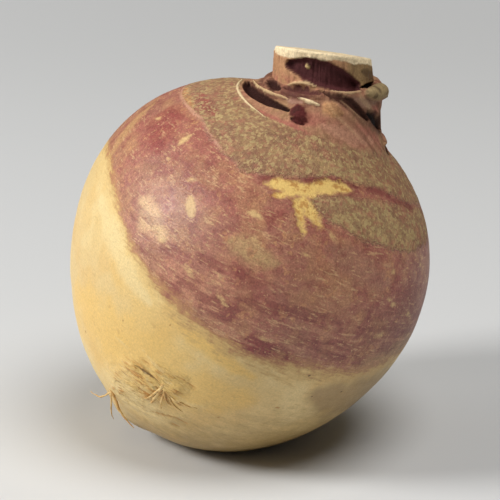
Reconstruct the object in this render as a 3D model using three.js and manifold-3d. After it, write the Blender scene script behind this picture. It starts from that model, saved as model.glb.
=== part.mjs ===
// A rutabaga as it is sold: a swollen root with its leaves trimmed off close to the crown and its
// taproot trimmed off close to the tip. It grew as one piece, so it is one solid.
//
// Millimetres, +Z up. The origin is the middle of the small flat spot that it rests on.
// Longitude 0 faces -Y and grows towards +X. Polar angles are measured from the crown axis.

import * as THREE from 'three';
import { mergeVertices } from 'three/addons/utils/BufferGeometryUtils.js';
import Module from 'manifold-3d';

// ---- driving dimensions ------------------------------------------------------------------------

const ROOT_CENTRE = new THREE.Vector3(6.6, 0.6, 58.3);
const CROWN_LEAN = 26;            // degrees, from vertical towards +X
const SURFACE_DETAIL = 13;        // subdivisions of the icosahedron that becomes the root

// The root's radius from its centre, as a sum of cosines of the polar angle.
const MEAN_RADIUS = 58.8;
const TIP_LONGER = 0.85;          // once round: the tip lies further out than the crown
const END_STRETCH = 0.95;         // twice round: both ends lie further out than the girth
const CROWN_SHOULDER = 1.85;      // three times round: a blunt crown and a narrower tip

// Low swellings round the girth: how many, how high and where the first one is.
const SWELLINGS = [
  { count: 2, height: 1.9, first: 27 },
  { count: 3, height: 0.5, first: 0 },
];

// The taproot's stump.
const TAP_POLAR = 169;
const TAP_LONGITUDE = -78;
const TAP_SWELL = 3.2;            // how far the root draws out towards the stump
const TAP_SWELL_WIDTH = 8.5;      // degrees
const TAP_TRIM = 64.0;            // distance from the root's centre to the trimmed face

// The base of the crown, square to the crown axis: [radius, height above the root's centre].
const CROWN_BASE = [[0, 40], [26.4, 45], [28, 51], [27.4, 52.6], [23.6, 56], [19.5, 58.6], [0, 59.5]];

// The neck, which has bent back to vertical: [radius, height above the root's centre].
const NECK_OFFSET = 24.4;         // from the root's centre towards +X
const NECK = [[0, 41], [18.6, 45], [19, 53], [18.4, 58.5], [15.8, 60.9], [15.2, 65], [14.9, 83], [0, 83]];
const NECK_TOP = 69.3;            // height of the middle of the cut above the root's centre
const CUT_TILT_BACK = 13;         // degrees
const CUT_TILT_RIGHT = 8;         // degrees
const NECK_SIDES = 40;
const NECK_RIPPLE = 0.6;
const NECK_RIPPLES = 5;

// Leaf scars follow each other round the neck by the golden angle, from the top down.
const GOLDEN_ANGLE = 137.5;
const SCAR_COUNT = 7;
const TOP_SCAR = { longitude: 0, height: 67.2, radius: 16 };
const SCAR_STEP_DOWN = 2.1;
const SCAR_STEP_OUT = 1.4;
const SCAR_HALF_WIDTH = 11;
const SCAR_HALF_HEIGHT = 4.2;
const SCAR_HALF_DEPTH = 3.4;

// Fine side roots run along the skin near the tip, in tufts: where a tuft grows, how many roots it has,
// the heading of the first one and the turn to the next, how far they run, how high their middles arch
// off the skin and how high their ends hang off the skin.
const SIDE_ROOT_RADIUS = 0.55;
const SIDE_ROOT_TUFTS = [
  { polar: 125, longitude: -15, count: 3, first: 65, fan: 40, run: 15, arch: 0.8, end: 0.2 },
  { polar: 150, longitude: -50, count: 2, first: 145, fan: 75, run: 13, arch: 2.8, end: 3.0 },
];
const SIDE_ROOT_SPACING = 4;      // degrees of longitude between the roots of a tuft
const SIDE_ROOT_BEND = 20;        // degrees of turn along each one
const SIDE_ROOT_KNOTS = 4;
const SIDE_ROOT_STEPS = 12;
const SIDE_ROOT_SIDES = 6;

// ---- working sizes -----------------------------------------------------------------------------

const MERGE_DISTANCE = 1e-4;
const SLAB_SIZE = 60;             // larger than any face that a slab cuts
const SCAR_SEGMENTS = 16;
const SCAR_RINGS = 10;

// ---- the root's surface ------------------------------------------------------------------------

const radians = THREE.MathUtils.degToRad;

const leanTurn = new THREE.Matrix4().makeRotationY(radians(CROWN_LEAN));

function direction(polar, longitude) {
  return new THREE.Vector3(
    Math.sin(polar) * Math.sin(longitude),
    -Math.sin(polar) * Math.cos(longitude),
    Math.cos(polar),
  );
}

const tapDirection = direction(radians(TAP_POLAR), radians(TAP_LONGITUDE));

function rootRadius(unit) {
  const polar = Math.acos(THREE.MathUtils.clamp(unit.z, -1, 1));
  const longitude = Math.atan2(unit.x, -unit.y);
  let radius = MEAN_RADIUS
    - TIP_LONGER * Math.cos(polar)
    + END_STRETCH * Math.cos(2 * polar)
    - CROWN_SHOULDER * Math.cos(3 * polar);
  for (const swelling of SWELLINGS) {
    const turn = swelling.count * (longitude - radians(swelling.first));
    radius += swelling.height * Math.sin(polar) ** 2 * Math.cos(turn);
  }
  const fromTap = unit.angleTo(tapDirection) / radians(TAP_SWELL_WIDTH);
  return radius + TAP_SWELL * Math.exp(-(fromTap ** 2));
}

function swollenRoot() {
  const geometry = withPositionOnly(new THREE.IcosahedronGeometry(1, SURFACE_DETAIL));
  const position = geometry.getAttribute('position');
  const point = new THREE.Vector3();
  for (let index = 0; index < position.count; index += 1) {
    point.fromBufferAttribute(position, index).normalize();
    point.multiplyScalar(rootRadius(point));
    position.setXYZ(index, point.x, point.y, point.z);
  }
  return geometry.applyMatrix4(leanTurn);
}

// ---- solids ------------------------------------------------------------------------------------

const wasm = await Module();
wasm.setup();

function withPositionOnly(geometry) {
  const bare = geometry.clone();
  bare.deleteAttribute('normal');
  bare.deleteAttribute('uv');
  return mergeVertices(bare, MERGE_DISTANCE);
}

function solid(geometry) {
  const merged = withPositionOnly(geometry);
  return new wasm.Manifold(new wasm.Mesh({
    numProp: 3,
    vertProperties: new Float32Array(merged.getAttribute('position').array),
    triVerts: new Uint32Array(merged.getIndex().array),
  }));
}

function geometryOf(manifold) {
  const mesh = manifold.getMesh();
  const geometry = new THREE.BufferGeometry();
  geometry.setAttribute('position', new THREE.BufferAttribute(new Float32Array(mesh.vertProperties), 3));
  geometry.setIndex(new THREE.BufferAttribute(new Uint32Array(mesh.triVerts), 1));
  geometry.computeVertexNormals();
  return geometry;
}

function turnedAboutZ(profile) {
  const points = profile.map(([radius, height]) => new THREE.Vector2(radius, height));
  return new THREE.LatheGeometry(points, NECK_SIDES).rotateX(Math.PI / 2);
}

// A slab that starts at a point and reaches away from it along a direction.
function slabBeyond(point, outward) {
  const slab = new THREE.BoxGeometry(SLAB_SIZE, SLAB_SIZE, SLAB_SIZE).translate(0, 0, SLAB_SIZE / 2);
  const turn = new THREE.Quaternion().setFromUnitVectors(new THREE.Vector3(0, 0, 1), outward);
  return slab.applyQuaternion(turn).translate(point.x, point.y, point.z);
}

// ---- the crown and its neck --------------------------------------------------------------------

function rippled(geometry, centreX) {
  const position = geometry.getAttribute('position');
  for (let index = 0; index < position.count; index += 1) {
    const x = position.getX(index) - centreX;
    const y = position.getY(index);
    const around = Math.atan2(y, x);
    const reach = Math.hypot(x, y);
    const ripple = NECK_RIPPLE * Math.sin(NECK_RIPPLES * around) * Math.min(1, reach / NECK[1][0]);
    position.setX(index, centreX + x + ripple * Math.cos(around));
    position.setY(index, y + ripple * Math.sin(around));
  }
  return geometry;
}

function crownBase() {
  return solid(turnedAboutZ(CROWN_BASE).applyMatrix4(leanTurn));
}

function neck() {
  const stalk = solid(rippled(turnedAboutZ(NECK).translate(NECK_OFFSET, 0, 0), NECK_OFFSET));
  const cutNormal = new THREE.Vector3(
    Math.tan(radians(CUT_TILT_RIGHT)),
    Math.tan(radians(CUT_TILT_BACK)),
    1,
  ).normalize();
  const cutMiddle = new THREE.Vector3(NECK_OFFSET, 0, NECK_TOP);
  return stalk.subtract(solid(slabBeyond(cutMiddle, cutNormal)));
}

// A leaf scar is a dish, the hollow that one trimmed leaf stalk leaves in the neck's side.
function leafScar(order) {
  const around = radians(TOP_SCAR.longitude + order * GOLDEN_ANGLE);
  const radius = TOP_SCAR.radius + order * SCAR_STEP_OUT;
  const height = TOP_SCAR.height - order * SCAR_STEP_DOWN;
  const dish = new THREE.SphereGeometry(1, SCAR_SEGMENTS, SCAR_RINGS);
  dish.scale(SCAR_HALF_WIDTH, SCAR_HALF_DEPTH, SCAR_HALF_HEIGHT);
  dish.rotateZ(around);
  dish.translate(NECK_OFFSET + radius * Math.sin(around), -radius * Math.cos(around), height);
  return solid(dish);
}

// ---- side roots --------------------------------------------------------------------------------

// The point of the skin at a polar angle and longitude, raised by a height, leaned with the root.
function skinPoint(polar, longitude, height) {
  const unit = direction(polar, longitude);
  return unit.multiplyScalar(rootRadius(unit) + height).applyMatrix4(leanTurn);
}

// A side root starts in the skin, arches off it and hangs at its end height.
// Heading 0 points towards the crown and 90 towards growing longitude.
function sideRootPath({ polar, longitude, heading, run, arch, end }) {
  const points = [];
  for (let knot = 0; knot <= SIDE_ROOT_KNOTS; knot += 1) {
    const along = knot / SIDE_ROOT_KNOTS;
    const reach = (run * along) / MEAN_RADIUS;
    const bearing = radians(heading + SIDE_ROOT_BEND * Math.sin(Math.PI * along));
    const polarHere = radians(polar) - reach * Math.cos(bearing);
    const longitudeHere = radians(longitude) + (reach * Math.sin(bearing)) / Math.sin(radians(polar));
    const height = arch * Math.sin(Math.PI * along) + end * along;
    points.push(skinPoint(polarHere, longitudeHere, height - SIDE_ROOT_RADIUS / 2));
  }
  return new THREE.CatmullRomCurve3(points);
}

// One plan for each root of a tuft.
function tuftPlans({ count, first, fan, longitude, ...shared }) {
  return Array.from({ length: count }, (_, number) => ({
    ...shared,
    longitude: longitude + SIDE_ROOT_SPACING * (number - (count - 1) / 2),
    heading: first + fan * number,
  }));
}

function sideRoot(plan) {
  const section = new THREE.Shape();
  section.absarc(0, 0, SIDE_ROOT_RADIUS, 0, 2 * Math.PI, false);
  return solid(new THREE.ExtrudeGeometry(section, {
    steps: SIDE_ROOT_STEPS,
    curveSegments: SIDE_ROOT_SIDES / 2,
    bevelEnabled: false,
    extrudePath: sideRootPath(plan),
  }));
}

// ---- the whole rutabaga ------------------------------------------------------------------------

function rutabagaGeometry() {
  const tapOutward = tapDirection.clone().applyMatrix4(leanTurn);
  const tapTrim = slabBeyond(tapOutward.clone().multiplyScalar(TAP_TRIM), tapOutward);

  let whole = solid(swollenRoot()).subtract(solid(tapTrim));
  whole = whole.add(crownBase()).add(neck());
  for (let order = 0; order < SCAR_COUNT; order += 1) {
    whole = whole.subtract(leafScar(order));
  }
  for (const plan of SIDE_ROOT_TUFTS.flatMap(tuftPlans)) {
    whole = whole.add(sideRoot(plan));
  }

  const down = new THREE.Vector3(0, 0, -1);
  const floorPoint = new THREE.Vector3(0, 0, -ROOT_CENTRE.z);
  return geometryOf(whole.subtract(solid(slabBeyond(floorPoint, down))));
}

function rutabaga() {
  const skin = new THREE.MeshStandardMaterial({ color: 0xb98c66, roughness: 0.5, metalness: 0 });
  const mesh = new THREE.Mesh(rutabagaGeometry(), skin);
  mesh.name = 'rutabaga';
  mesh.position.copy(ROOT_CENTRE);
  return mesh;
}

const model = new THREE.Group();
model.add(rutabaga());

export default model;
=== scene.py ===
"""A trimmed rutabaga on a pale floor: its skin, crown, cut neck and fine side roots.

Shapes are worked out in millimetres about the root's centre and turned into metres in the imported
model's own frame when a mesh is made. Longitude 0 faces -Y and grows towards +X. Polar angles are
measured from the crown axis, which leans towards +X. Places on the neck are given by their turn about
the neck's upright axis and by their climb: 0 at the edge of the crown, 1 at the neck's foot, 2 at the
top of the step above it and 3 at the edge of the cut.
"""

import itertools
import math

import bpy
import numpy as np
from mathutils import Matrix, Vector


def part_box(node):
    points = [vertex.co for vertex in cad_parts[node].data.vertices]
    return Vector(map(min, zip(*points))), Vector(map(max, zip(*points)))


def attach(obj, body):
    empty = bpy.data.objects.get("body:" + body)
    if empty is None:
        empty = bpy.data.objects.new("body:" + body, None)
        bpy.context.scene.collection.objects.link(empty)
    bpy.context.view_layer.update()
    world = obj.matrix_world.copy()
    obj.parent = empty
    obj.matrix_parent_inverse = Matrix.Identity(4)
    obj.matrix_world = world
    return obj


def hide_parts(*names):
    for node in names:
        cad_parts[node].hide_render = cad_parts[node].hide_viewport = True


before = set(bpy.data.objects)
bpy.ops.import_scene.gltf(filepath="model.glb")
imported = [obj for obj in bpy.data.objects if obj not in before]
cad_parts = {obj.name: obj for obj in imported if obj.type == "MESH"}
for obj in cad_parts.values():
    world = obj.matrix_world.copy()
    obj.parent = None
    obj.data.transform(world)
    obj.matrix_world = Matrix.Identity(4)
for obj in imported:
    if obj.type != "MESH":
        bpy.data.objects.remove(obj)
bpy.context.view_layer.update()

# ---- driving dimensions, millimetres and degrees --------------------------------------------------

MM = 0.001
CAD_LOW = np.array(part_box("rutabaga")[0]) / MM
ROOT_CENTRE = CAD_LOW + (56.06, 59.72, 58.3)
CROWN_LEAN = 26

MEAN_RADIUS = 58.8
TIP_LONGER = 0.85
END_STRETCH = 0.95
CROWN_SHOULDER = 1.85
SWELLINGS = ((2, 1.9, 27), (3, 0.5, 0))          # how many round the girth, height, where the first is

TAP_POLAR = 169
TAP_LONGITUDE = -78
TAP_SWELL = 3.2
TAP_SWELL_WIDTH = 8.5
TAP_TRIM = 64.0
TRIM_ROUNDING = 0.4

CROWN_EDGE = 28.5
NECK_OFFSET = 24.4
FOOT_RADIUS = 18.8
FOOT_HEIGHT = 58.7
FOOT_SLOPE = 0.7                                 # lower towards +X, higher towards -X
STEP_RADIUS = 15.9
STEP_HEIGHT = 61.2
CUT_RADIUS = 15.1
CUT_HEIGHT = 69.3
CUT_TILT_BACK = 13
CUT_TILT_RIGHT = 8
CUT_ROUNDING = 0.7

# ---- the skin's grid ------------------------------------------------------------------------------

COLUMNS = 372
FINE_FROM = 62                                   # polar angle where the rows draw closer together
GIRTH_ROWS = 108
SHOULDER_ROWS = 50
LEDGE_ROWS = 48
STEP_ROWS = 14
WALL_ROWS = 28
CUT_ROWS = 14


# ---- small mathematics ----------------------------------------------------------------------------

def smooth(low, high, value):
    """0 below low, 1 above high and an S curve between."""
    share = np.clip((value - low) / (high - low), 0, 1)
    return share * share * (3 - 2 * share)


def beyond(excess, rounding):
    """The part of excess above 0, with its corner rounded."""
    corner = (excess + rounding) ** 2 / (4 * rounding)
    return np.where(excess > rounding, excess, np.where(excess < -rounding, 0, corner))


def mixed(first, second, share):
    """First turned into second by a share from 0 to 1, row by row."""
    share = share[:, None] if np.ndim(share) == 1 and np.ndim(first) == 2 else share
    return first + (second - first) * share


def lattice_noise(places, seed):
    """Smooth noise from -1 to 1: random values on whole-number corners, blended across each cell."""
    corner_low = np.floor(places).astype(np.int64)
    inside = places - corner_low
    inside = inside * inside * (3 - 2 * inside)
    total = np.zeros(len(places))
    for corner in itertools.product((0, 1), repeat=3):
        x, y, z = (corner_low + corner).T
        mix = (x * 73856093) ^ (y * 19349663) ^ (z * 83492791) ^ (seed * 2654435761)
        mix = (mix ^ (mix >> 13)) * 1274126177 & 0x7FFFFFFF
        mix = (mix ^ (mix >> 16)) & 0xFFFF
        weight = np.prod(np.where(corner, inside, 1 - inside), axis=1)
        total += weight * (mix / 32767.5 - 1)
    return total


def roughening(places, size, seed, octaves=3):
    """Noise whose largest lumps measure size, with finer ones half as large and half as high."""
    total = np.zeros(len(places))
    for octave in range(octaves):
        total += lattice_noise(places * (2 ** octave / size), seed + 31 * octave) / 2 ** octave
    return total


# ---- the root's surface ---------------------------------------------------------------------------

LEAN_SINE = math.sin(math.radians(CROWN_LEAN))
LEAN_COSINE = math.cos(math.radians(CROWN_LEAN))


def direction(polar, longitude):
    """The unit vector at a polar angle and longitude, in radians, before the lean."""
    return np.stack([
        np.sin(polar) * np.sin(longitude),
        -np.sin(polar) * np.cos(longitude),
        np.cos(polar),
    ], axis=-1)


def leaned(points):
    """Points turned about Y by the crown's lean."""
    x, y, z = points[..., 0], points[..., 1], points[..., 2]
    return np.stack([x * LEAN_COSINE + z * LEAN_SINE, y, z * LEAN_COSINE - x * LEAN_SINE], axis=-1)


TAP_DIRECTION = direction(math.radians(TAP_POLAR), math.radians(TAP_LONGITUDE))


def root_surface(polar, longitude, height=0):
    """The root's skin, raised by height.

    Its radius is a sum of cosines of the polar angle, with low swellings round the girth and a swell
    towards the taproot. The taproot's end is trimmed flat, and so is the spot that it rests on.
    """
    unit = direction(polar, longitude)
    radius = (MEAN_RADIUS
              - TIP_LONGER * np.cos(polar)
              + END_STRETCH * np.cos(2 * polar)
              - CROWN_SHOULDER * np.cos(3 * polar))
    for count, swell, first in SWELLINGS:
        radius = radius + swell * np.sin(polar) ** 2 * np.cos(count * (longitude - math.radians(first)))
    from_tap = np.degrees(np.arccos(np.clip(unit @ TAP_DIRECTION, -1, 1))) / TAP_SWELL_WIDTH
    radius = radius + TAP_SWELL * np.exp(-from_tap ** 2) + height
    points = unit * radius[..., None]
    past_trim = beyond(points @ TAP_DIRECTION - TAP_TRIM, TRIM_ROUNDING)
    return leaned(points - past_trim[..., None] * TAP_DIRECTION)


def on_root(polar, longitude, height=0.0):
    """One or more places on the root's skin, from angles in degrees."""
    polar, longitude = np.broadcast_arrays(np.radians(polar), np.radians(longitude))
    return root_surface(polar, longitude, height)


def neck_ring(radius, height, turn):
    """Points at a radius from the neck's upright axis, turned by turn radians."""
    return np.stack([
        NECK_OFFSET + radius * np.sin(turn),
        -radius * np.cos(turn),
        height + 0 * turn,
    ], axis=-1)


def cut_height(radius, turn):
    """Height of the tilted plane of the cut at a radius and turn about the neck's axis."""
    right = radius * np.sin(turn) * math.tan(math.radians(CUT_TILT_RIGHT))
    front = radius * np.cos(turn) * math.tan(math.radians(CUT_TILT_BACK))
    return CUT_HEIGHT - right + front


def base_grid():
    """Rows of points from the tip to the middle of the cut, before any fine relief.

    The root's rows follow its surface. The ledge is a cubic Bezier curve in every column, which leaves
    the root along its own slope and meets the neck's foot. A step and a wall climb to the cut, whose
    edge is a quarter circle, and the last rows close in on its middle. Also gives each point's polar
    angle and its climb.
    """
    turn = np.linspace(-math.pi, math.pi, COLUMNS, endpoint=False)
    edge = math.radians(CROWN_EDGE)
    polars = np.radians(np.concatenate([
        np.linspace(180, FINE_FROM, GIRTH_ROWS + 1)[1:],
        np.linspace(FINE_FROM, CROWN_EDGE, SHOULDER_ROWS + 1)[1:],
    ]))
    polar_grid, turn_grid = np.meshgrid(polars, turn, indexing="ij")
    root = root_surface(polar_grid, turn_grid)

    start = root[-1]
    slope = start - root_surface(edge + 0.01 + 0 * turn, turn)
    slope /= np.linalg.norm(slope, axis=1)[:, None]
    foot = neck_ring(FOOT_RADIUS, FOOT_HEIGHT - FOOT_SLOPE * np.sin(turn), turn)
    reach = 0.38 * np.linalg.norm(foot - start, axis=1)[:, None]
    fall = np.radians(50 + 45 * np.sin(turn))
    arrival = np.stack([np.cos(fall) * np.sin(turn), -np.cos(fall) * np.cos(turn), -np.sin(fall)], -1)
    share = (np.arange(1, LEDGE_ROWS + 1) / LEDGE_ROWS)[:, None, None]
    ledge = ((1 - share) ** 3 * start
             + 3 * (1 - share) ** 2 * share * (start + slope * reach)
             + 3 * (1 - share) * share ** 2 * (foot + arrival * reach)
             + share ** 3 * foot)

    share = (np.arange(1, STEP_ROWS + 1) / STEP_ROWS)[:, None]
    swing = share * math.pi / 2
    step_height = STEP_HEIGHT - FOOT_SLOPE * np.sin(turn)
    step = neck_ring(
        STEP_RADIUS + (FOOT_RADIUS - STEP_RADIUS) * np.cos(swing),
        foot[:, 2] + (step_height - foot[:, 2]) * np.sin(swing),
        turn[None, :] + 0 * share,
    )

    share = (np.arange(1, WALL_ROWS + 1) / WALL_ROWS)[:, None]
    rim_height = cut_height(CUT_RADIUS, turn) - CUT_ROUNDING
    wall = neck_ring(
        STEP_RADIUS + (CUT_RADIUS - STEP_RADIUS) * share,
        step_height + (rim_height - step_height) * share,
        turn[None, :] + 0 * share,
    )

    rounding_rows = 4
    swing = (np.arange(1, rounding_rows + 1) / rounding_rows)[:, None] * math.pi / 2
    rounded = CUT_RADIUS - CUT_ROUNDING * (1 - np.cos(swing))
    rounded_edge = neck_ring(
        rounded + 0 * turn,
        cut_height(rounded, turn) - CUT_ROUNDING * (1 - np.sin(swing)),
        turn[None, :] + 0 * swing,
    )
    inward = CUT_ROWS - rounding_rows
    share = (np.arange(inward, 0, -1) / (inward + 1))[:, None]
    flat = (CUT_RADIUS - CUT_ROUNDING) * share
    cut = neck_ring(flat + 0 * turn, cut_height(flat, turn), turn[None, :] + 0 * share)

    climb = np.concatenate([
        np.zeros(len(polars)),
        np.arange(1, LEDGE_ROWS + 1) / LEDGE_ROWS,
        1 + np.arange(1, STEP_ROWS + 1) / STEP_ROWS,
        2 + np.arange(1, WALL_ROWS + 1) / WALL_ROWS,
        3 + np.arange(1, CUT_ROWS + 1) / CUT_ROWS,
    ])
    points = np.concatenate([root, ledge, step, wall, rounded_edge, cut])
    return points, polars, turn, climb


def outward_normals(points):
    """Unit normals of a grid of points, from the cross product of its row and column directions."""
    along = np.roll(points, -1, axis=1) - np.roll(points, 1, axis=1)
    up = np.gradient(points, axis=0)
    normals = np.cross(along, up)
    return normals / np.maximum(np.linalg.norm(normals, axis=-1), 1e-9)[..., None]


base_points, ROW_POLARS, COLUMN_TURNS, ROW_CLIMBS = base_grid()
ROW_COUNT = len(ROW_CLIMBS)
LAST_ROOT_ROW = len(ROW_POLARS) - 1


def on_neck(climb, turn):
    """One place on the ledge, step or wall: the base grid read between its rows and columns."""
    row = np.interp(climb, ROW_CLIMBS[LAST_ROOT_ROW:], np.arange(LAST_ROOT_ROW, ROW_COUNT))
    column = (math.radians(turn) + math.pi) / (2 * math.pi) * COLUMNS
    low_row = min(int(row), ROW_COUNT - 2)
    low_column = int(math.floor(column))
    ends = [
        mixed(base_points[low_row + up, low_column % COLUMNS],
              base_points[low_row + up, (low_column + 1) % COLUMNS],
              column - low_column)
        for up in (0, 1)
    ]
    return mixed(ends[0], ends[1], row - low_row)


# ---- marks: lines on the skin that are cut into it, raised on it or coloured -----------------------

def smooth_path(knots, steps=6):
    """A Catmull-Rom curve through the knots, step by step. Columns after the third are carried along."""
    knots = np.array(knots, float)
    padded = np.concatenate([2 * knots[:1] - knots[1:2], knots, 2 * knots[-1:] - knots[-2:-1]])
    share = (np.arange(steps) / steps)[:, None]
    stretches = []
    for first in range(len(knots) - 1):
        before, start, end, after = padded[first:first + 4]
        stretches.append(0.5 * (
            2 * start
            + (end - before) * share
            + (2 * before - 5 * start + 4 * end - after) * share ** 2
            + (3 * start - before - 3 * end + after) * share ** 3
        ))
    return np.concatenate(stretches + [knots[-1:]])


def nearness(points, path):
    """How near each point lies to a line whose half width changes along it.

    1 on the line and 0 at its half width, below 0 outside: 1 - distance / half width. The path's rows
    are x, y, z and half width. Points far from the whole line are given -9.
    """
    result = np.full(len(points), -9.0)
    middle = path[:, :3].mean(axis=0)
    span = np.linalg.norm(path[:, :3] - middle, axis=1).max() + 5 * path[:, 3].max() + 2
    close = np.flatnonzero(np.linalg.norm(points - middle, axis=1) < span)
    best = np.full(len(close), -9.0)
    for start, end in zip(path[:-1], path[1:]):
        step = end[:3] - start[:3]
        share = np.clip((points[close] - start[:3]) @ step / max(step @ step, 1e-9), 0, 1)
        away = np.linalg.norm(points[close] - start[:3] - share[:, None] * step, axis=1)
        width = start[3] + (end[3] - start[3]) * share
        best = np.maximum(best, 1 - away / np.maximum(width, 0.05))
    result[close] = best
    return result


def margin(points, path):
    """Distance in millimetres from a line's edge, above 0 inside it. The path is as for nearness."""
    result = np.full(len(points), -9.0)
    for start, end in zip(path[:-1], path[1:]):
        step = end[:3] - start[:3]
        share = np.clip((points - start[:3]) @ step / max(step @ step, 1e-9), 0, 1)
        away = np.linalg.norm(points - start[:3] - share[:, None] * step, axis=1)
        result = np.maximum(result, start[3] + (end[3] - start[3]) * share - away)
    return result


def root_path(knots):
    """A smooth line on the root from knots of polar angle, longitude and half width."""
    return smooth_path([(*on_root(polar, longitude), half) for polar, longitude, half in knots])


def neck_path(knots):
    """A smooth line on the neck from knots of climb, turn and half width."""
    return smooth_path([(*on_neck(climb, turn), half) for climb, turn, half in knots])


def stroke(start, end, half, bow=0.0, knots=5):
    """Knots of a mark that runs from start to end, two pairs of polar and longitude or of climb and turn.

    Its middle bows by a parabola, and its half width in millimetres tapers to both ends as a sine does.
    """
    share = np.linspace(0, 1, knots)
    return np.stack([
        start[0] + (end[0] - start[0]) * share + 4 * bow * share * (1 - share),
        start[1] + (end[1] - start[1]) * share,
        half * (0.35 + 0.65 * np.sin(math.pi * share)),
    ], axis=-1)


def scattered(seed, count, polars, longitudes, lengths, halves):
    """Short strokes at seeded places, each running nearly along its ring."""
    random = np.random.default_rng(seed)
    strokes = []
    for _ in range(count):
        polar = random.uniform(*polars)
        longitude = random.uniform(*longitudes)
        reach = 0.5 * random.uniform(*lengths)
        slope = reach * random.uniform(-0.6, 0.6)
        ends = (polar - slope, longitude - reach), (polar + slope, longitude + reach)
        strokes.append(stroke(*ends, random.uniform(*halves), knots=3))
    return strokes


# Marks on the neck: strokes from and to a (climb, turn), and relief in millimetres.
DISHES = {
    "great_scar": (stroke((2.6, -45), (2.1, 40), 4.2, 0.1), -2.2),
    "eye_scar": (stroke((1.7, -45), (1.6, -5), 1.5, 0.1), -1.5),
    "left_recess": (stroke((1.4, -80), (1.4, -50), 1.8, 0.1), -1.7),
    "long_scar": (stroke((0.2, -110), (0.6, -30), 1.8, 0.1), -1.4),
    "crevice": (stroke((1.9, -5), (0.7, 45), 1.3, -0.2), -1.1),
    "knob_gap": (stroke((2.0, 45), (2.0, 75), 0.8), -1.2),
    "knob_hollow": (stroke((0.8, 45), (0.5, 85), 2.2), -1.7),
    "right_notch": (stroke((0.2, 80), (0.1, 100), 1.8), -0.6),
    "bud_shadow": (stroke((0.4, -25), (0.4, -15), 0.9), -0.6),
    "back_scar": (stroke((2.3, 105), (2.6, 155), 2.0), -1.2),
    "back_left_scar": (stroke((2.6, -160), (2.3, -105), 1.1), -1.0),
    "back_ledge_scar": (stroke((0.2, 120), (0.6, 180), 1.0, 0.1), -0.6),
}
RIDGES = {
    "arch": (stroke((2.0, -45), (2.1, -10), 0.6, 0.1), 0.6),
    "upper_lip": (stroke((1.9, 5), (1.6, 40), 0.5, -0.1), 0.6),
    "bright_lip": (stroke((1.0, -25), (0.9, -5), 0.9), 1.1),
    "left_lip": (stroke((0.6, -100), (0.9, -35), 0.8, 0.1), 0.9),
    "crown_edge": (stroke((0.0, -110), (0.0, -40), 0.7), 0.35),
    "right_fold": (stroke((0.3, 80), (0.3, 110), 1.4), 1.0),
    "back_lip": (stroke((0.6, 110), (1.0, 175), 0.6), 0.7),
    "back_crown_edge": (stroke((0.0, 115), (0.0, 175), 0.6), 0.4),
}
KNOBS = {
    "knob": (stroke((1.3, 45), (0.9, 90), 3.0), 1.9),
    "bud": (stroke((0.7, -20), (0.5, -20), 3.4), 1.5),
    "swelling": (stroke((0.9, 0), (0.8, 15), 2.2), 0.6),
    "nub": (stroke((2.6, -25), (2.6, -20), 0.9), 1.2),
}
# Broad patches of paint on the neck: a paint, its strength and a stroke.
NECK_PATCHES = [
    ("ledge_red", 0.7, stroke((0.1, -50), (0.2, 0), 1.3)),
    ("pink_brown", 0.8, stroke((0.5, 0), (0.4, 50), 2.5)),
    ("tan_swell", 0.95, stroke((0.9, 0), (0.8, 15), 2.2)),
    ("flesh", 0.9, stroke((0.9, -35), (0.9, -20), 1.2)),
    # Painted shadow: dark brown under the left lip, above the long scar.
    ("brow", 0.95, stroke((0.5, -100), (0.8, -45), 1.2, 0.1)),
    ("plum_red", 0.9, stroke((1.2, -45), (1.1, -15), 1.3)),
    ("fibrous", 0.95, stroke((1.2, 10), (0.5, 80), 3.2, -0.1)),
    ("plum_grey", 0.75, stroke((1.0, 25), (0.9, 60), 1.6)),
    # Painted shade: dark brown below the knob on the right.
    ("brow", 0.9, stroke((0.2, 80), (0.2, 110), 2.0)),
    ("wall_shade", 0.75, stroke((2.6, 50), (2.3, 80), 1.5)),
]


def neck_marks(points):
    """Nearness of every point to each mark on the neck, by the mark's name."""
    named = {**DISHES, **RIDGES, **KNOBS}
    return {name: nearness(points, neck_path(knots)) for name, (knots, _relief) in named.items()}


def neck_relief(marks):
    """Dishes with steep sides and flat floors, round ridges and round knobs, in millimetres."""
    relief = 0
    for name, (_knots, depth) in DISHES.items():
        relief = np.minimum(relief, depth * smooth(-0.12, 0.40, marks[name]))
    for name, (_knots, height) in RIDGES.items():
        relief = relief + height * smooth(-0.3, 1, marks[name])
    for name, (_knots, height) in KNOBS.items():
        relief = relief + height * np.sqrt(smooth(-0.05, 1, marks[name]))
    return relief


# Seeds of what is scattered.
FLECK_SEED = 31
DARK_DOT_SEED = 32
CREAM_DOT_SEED = 33
CREASE_SEED = 34
TIP_RIDGE_SEED = 35
ROOT_SEED = 41

# Marks on the root lie from and to a (polar angle, longitude). Scattered ones give their count and the
# least and most of their polar angle, longitude, length in degrees and half width in millimetres.
# The yellow scrape: spokes from a hub, each given by its end, its half width and its bow.
SCRAPE_HUB = (48, -3)
SCRAPE_SPOKES = [
    ((40, 20), 2.6, -2),
    ((50, -15), 2.4, -1),
    ((55, 10), 2.2, 0),
    ((60, 5), 1.4, 0),
    ((52, -10), 1.6, 0),
]
SCRAPE = [stroke(SCRAPE_HUB, end, half, bow) for end, half, bow in SCRAPE_SPOKES]
SCRAPE.append(stroke((47, -8), (46, 4), 2.8))
# Pale flecks of the cap, and dots of the pale skin.
FLECKS = [
    stroke((50, -55), (55, -55), 1.1),
    stroke((65, -35), (70, -30), 1.8),
    stroke((60, -15), (60, -10), 1.1),
    *scattered(FLECK_SEED, 60, (50, 96), (-180, 180), (1, 6), (0.35, 0.8)),
]
DARK_DOTS = scattered(DARK_DOT_SEED, 14, (92, 130), (-180, 180), (0.6, 1.4), (0.4, 0.6))
CREAM_DOTS = scattered(CREAM_DOT_SEED, 30, (96, 135), (-180, 180), (0.6, 1.4), (0.4, 0.7))

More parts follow.
